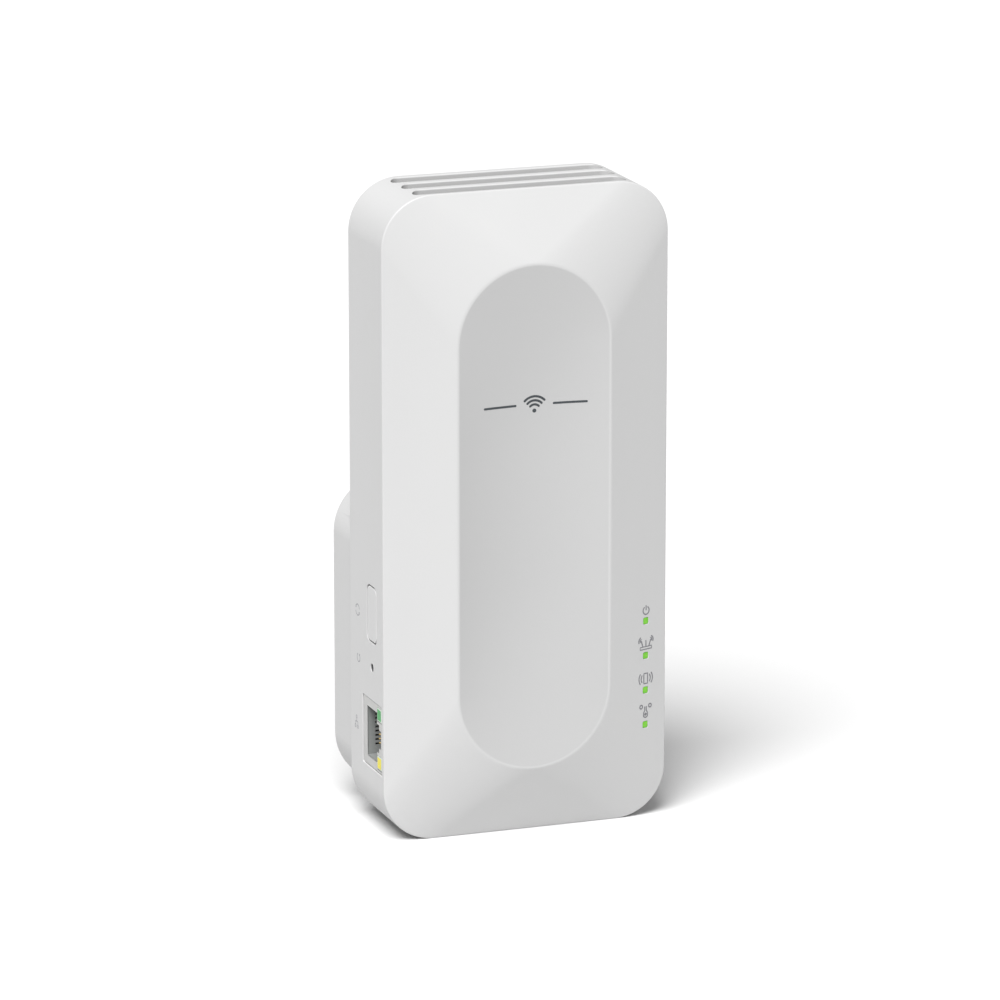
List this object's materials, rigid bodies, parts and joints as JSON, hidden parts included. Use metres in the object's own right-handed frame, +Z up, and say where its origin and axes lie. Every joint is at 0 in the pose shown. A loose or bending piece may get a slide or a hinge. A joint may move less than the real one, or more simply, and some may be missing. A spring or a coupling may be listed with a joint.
{
  "type": "wifi range extender",
  "caption": "White wall-plug wifi range extender: tall rounded body with a faceted front, vent slots, status lights, side Ethernet socket and flat mains blades.",
  "frame": {"origin": "middle of the plug face, between the two mains blades", "axes": "+Y points into the wall, the front faces -Y, +X is to the right seen from the front, +Z is up"},
  "size_m": [0.0686, 0.0609, 0.15],
  "materials": {
    "shell_white": "fine spark-eroded texture, white",
    "button_white": "smooth satin white",
    "plug_white": "fine texture, white",
    "insert_white": "moulded, slightly grey white",
    "label_film": "satin film, no lettering",
    "blade_nickel": "nickel plated, rolled",
    "screw_steel": "zinc plated",
    "tinplate": "pressed tin plate",
    "jack_metal": "nickel plated shell",
    "jack_grey": "moulded dark grey",
    "contact_gold": "gold plated wire",
    "light_green": "tinted clear, glowing",
    "light_yellow": "tinted clear, glowing",
    "pipe_clear": "clear rods that glow green",
    "gasket_black": "soft foam rubber",
    "led_package": "small moulded package",
    "board_green": "solder mask over copper",
    "chip_black": "moulded package",
    "pad_blue": "soft thermal pad",
    "fin_aluminium": "extruded",
    "pin_black": "moulded nylon",
    "capacitor_can": "drawn can",
    "antenna_board": "thin board with copper",
    "foam_grey": "adhesive foam",
    "cable_black": "thin jacket",
    "sheet_milky": "thin insulating film",
    "board_tan": "paper board with solder mask",
    "ferrite_grey": "ferrite",
    "tape_yellow": "wound tape",
    "sleeve_blue": "shrink sleeve",
    "sleeve_black": "shrink sleeve",
    "fuse_brown": "moulded",
    "film_yellow": "potted box",
    "coil_copper": "enamelled wire",
    "disc_blue": "dipped disc",
    "switch_black": "moulded"
  },
  "bodies": {
    "housing": {"front_shell": "shell_white", "rear_cover": "plug_white", "cover_screws": "screw_steel", "plug_insert": "insert_white", "blade_left": "blade_nickel", "blade_right": "blade_nickel", "rating_label": "label_film", "sync_switch_body": "switch_black", "reset_switch_body": "switch_black", "switch_brackets": "tinplate", "jack_shield": "jack_metal", "jack_housing": "jack_grey", "jack_contacts": "contact_gold", "jack_light_green": "light_green", "jack_light_yellow": "light_yellow", "light_pipe": "pipe_clear", "light_gasket": "gasket_black", "status_leds": "led_package", "main_board": "board_green", "board_screws": "screw_steel", "processor_chip": "chip_black", "radio_chip": "chip_black", "memory_chip": "chip_black", "processor_shield": "tinplate", "radio_shield": "tinplate", "processor_pad": "pad_blue", "radio_pad": "pad_blue", "heatsink": "fin_aluminium", "heatsink_pins": "pin_black", "ethernet_transformer": "chip_black", "power_inductors": "ferrite_grey", "board_capacitors": "capacitor_can", "antenna_top_left": "antenna_board", "antenna_top_right": "antenna_board", "antenna_left": "antenna_board", "antenna_right": "antenna_board", "antenna_pads": "foam_grey", "coax_top_left": "cable_black", "coax_top_right": "cable_black", "coax_left": "cable_black", "coax_right": "cable_black", "antenna_sockets": "contact_gold", "power_header": "pin_black", "power_header_pins": "contact_gold", "insulation_sheet": "sheet_milky", "supply_board": "board_tan", "supply_screws": "screw_steel", "transformer_core": "ferrite_grey", "transformer_winding": "tape_yellow", "bulk_capacitors": "sleeve_blue", "output_capacitor": "sleeve_black", "fuse": "fuse_brown", "bridge_rectifier": "chip_black", "filter_capacitor": "film_yellow", "common_mode_choke": "coil_copper", "safety_capacitor": "disc_blue", "supply_controller": "chip_black"},
    "button": {"sync_button": "button_white"},
    "sync_plunger": {"sync_switch_plunger": "pin_black"},
    "reset_plunger": {"reset_switch_plunger": "pin_black"}
  },
  "joints": [
    {"name": "sync_press", "type": "slide", "parent": "housing", "child": "button", "axis": [1, 0, 0], "range_m": [0, 0.00035], "stiffness_N_per_m": 1500, "springref_m": -0.0002},
    {"name": "sync_plunger_press", "type": "slide", "parent": "housing", "child": "sync_plunger", "axis": [1, 0, 0], "range_m": [0, 0.00035]},
    {"name": "reset_press", "type": "slide", "parent": "housing", "child": "reset_plunger", "axis": [1, 0, 0], "range_m": [0, 0.00025], "stiffness_N_per_m": 3000, "springref_m": -0.0002}
  ],
  "couplings": [
    {"joint": "sync_plunger_press", "follows": "sync_press", "ratio": 1}
  ]
}
